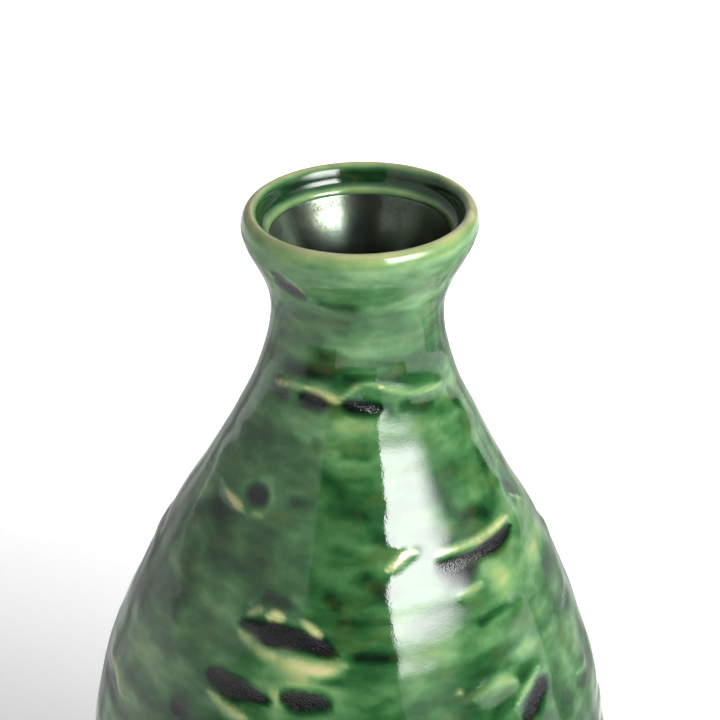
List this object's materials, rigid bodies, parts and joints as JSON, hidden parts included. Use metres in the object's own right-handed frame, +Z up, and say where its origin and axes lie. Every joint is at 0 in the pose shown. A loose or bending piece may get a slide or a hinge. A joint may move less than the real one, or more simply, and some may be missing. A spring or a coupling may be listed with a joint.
{
  "type": "sake bottle",
  "caption": "Turned stoneware bottle with a full round belly, a narrow waisted neck and a flared, rolled lip, glazed inside and out above a bare foot ring.",
  "frame": {"origin": "centre of the foot ring's underside, on the plane that the bottle stands on", "axes": "+Z up along the axis of the bottle, towards the mouth; X and Y are any two directions across it"},
  "size_m": [0.0878, 0.0878, 0.15],
  "materials": {
    "bare_clay": "unglazed buff stoneware, matt, with turning marks",
    "green_glaze": "glossy mottled green ash glaze, dark where it pools and cream where it thins",
    "dark_glaze": "glossy dark metallic green glaze"
  },
  "bodies": {
    "root": {"stoneware_body": "bare_clay", "outer_glaze": "green_glaze", "inner_glaze": "dark_glaze"}
  },
  "joints": []
}
